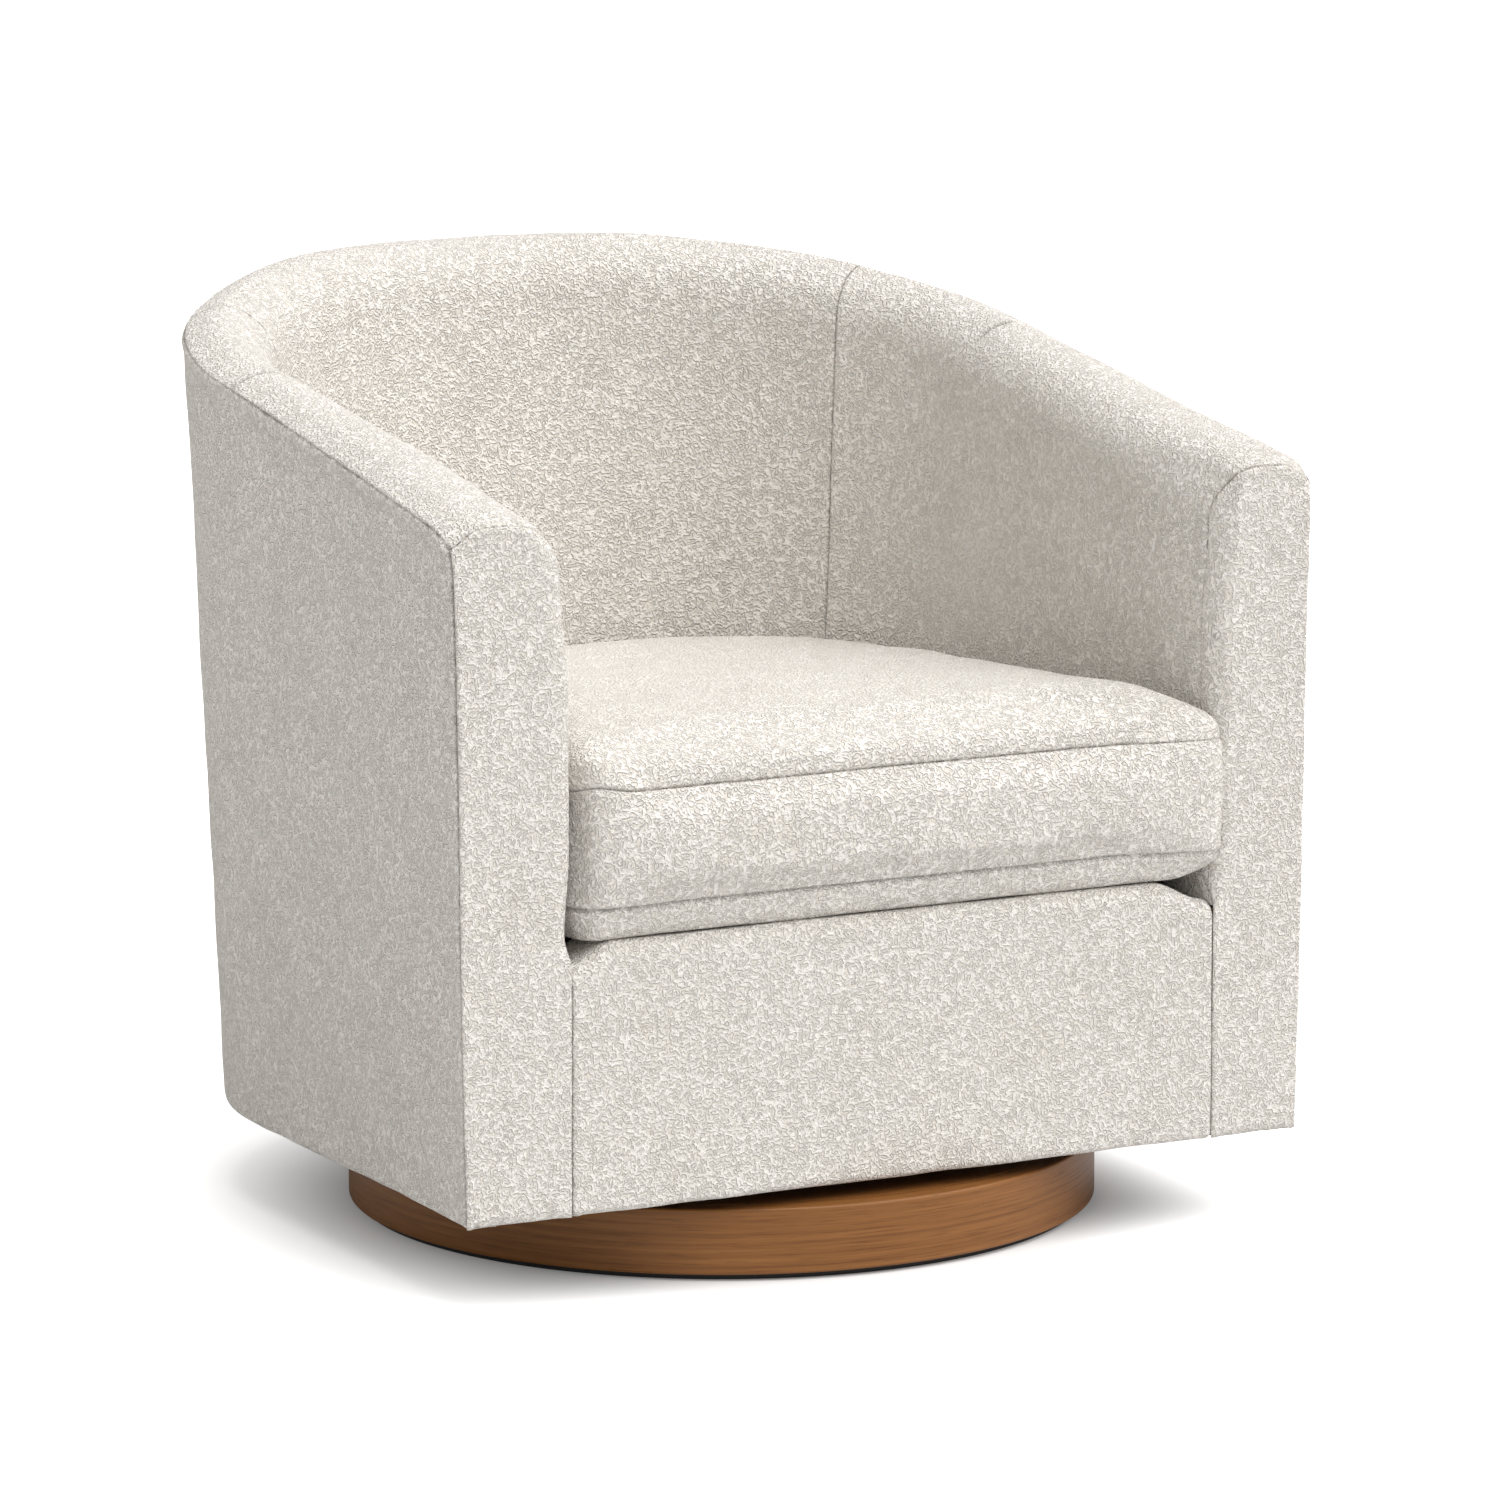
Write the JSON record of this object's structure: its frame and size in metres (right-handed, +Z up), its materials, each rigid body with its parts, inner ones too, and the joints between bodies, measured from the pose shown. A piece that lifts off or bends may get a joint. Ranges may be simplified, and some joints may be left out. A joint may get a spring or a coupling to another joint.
{
  "type": "swivel tub armchair",
  "caption": "Upholstered tub armchair with a curved sloping back and arms, a loose boxed seat cushion and a round wooden swivel plinth.",
  "frame": {"origin": "on the swivel axis at the floor, in the middle of the floor ring's underside", "axes": "+Z up along the swivel axis; -Y towards the open front of the seat; +X to the right for a viewer who faces the front"},
  "size_m": [0.757, 0.799, 0.7244],
  "materials": {
    "boucle": "looped boucle weave, matt",
    "oak": "satin lacquered oak veneer",
    "black_base": "matt black",
    "timber": "raw sawn timber and plywood",
    "steel": "pressed steel, lightly oiled",
    "zinc": "zinc plated",
    "foam": "open-cell foam wrapped in wadding",
    "fibreboard": "brown fibreboard",
    "lining": "black non-woven lining"
  },
  "bodies": {
    "base": {"floor_ring": "black_base", "plinth_rim": "oak", "plinth_top": "oak", "plinth_brace_long": "timber", "plinth_brace_cross": "timber", "swivel_lower_plate": "steel", "lower_race": "steel", "lower_plate_screws": "zinc"},
    "bearing_cage": {"ball_cage": "zinc", "bearing_balls": "zinc"},
    "tub": {"swivel_upper_plate": "steel", "upper_race": "steel", "centre_rivet": "zinc", "upper_plate_screws": "zinc", "swivel_rails": "timber", "bottom_frame": "timber", "dust_cover": "lining", "front_post_left": "timber", "front_post_right": "timber", "rear_post_left": "timber", "rear_post_right": "timber", "back_uprights": "timber", "front_rail": "timber", "side_rail_left": "timber", "side_rail_right": "timber", "back_rail": "timber", "arm_top_rail_left": "timber", "arm_top_rail_right": "timber", "back_top_rail": "timber", "corner_blocks": "timber", "seat_springs": "steel", "spring_clips": "zinc", "deck_pad": "foam", "deck_cloth": "lining", "outside_board_left": "fibreboard", "outside_board_right": "fibreboard", "outside_board_back": "fibreboard", "arm_foam_left": "foam", "arm_foam_right": "foam", "back_foam": "foam", "arm_front_pad_left": "foam", "arm_front_pad_right": "foam", "front_rail_foam": "foam", "outside_cover": "boucle", "arm_cover_left": "boucle", "arm_cover_right": "boucle", "inside_back_cover": "boucle", "arm_front_cover_left": "boucle", "arm_front_cover_right": "boucle", "front_rail_cover": "boucle"},
    "cushion": {"cushion_foam": "foam", "cushion_top_panel": "boucle", "cushion_boxing": "boucle", "cushion_bottom_panel": "boucle", "cushion_zip": "lining"}
  },
  "joints": [
    {"name": "swivel", "type": "hinge", "parent": "base", "child": "tub", "pos_m": [0, 0, 0.0645], "axis": [0, 0, 1], "continuous": true},
    {"name": "cage_roll", "type": "hinge", "parent": "base", "child": "bearing_cage", "pos_m": [0, 0, 0.0645], "axis": [0, 0, 1], "continuous": true},
    {"name": "cushion_lift", "type": "slide", "parent": "tub", "child": "cushion", "axis": [0, 0, 1], "range_m": [0, 0.25]}
  ],
  "couplings": [
    {"joint": "cage_roll", "follows": "swivel", "ratio": 0.5}
  ]
}
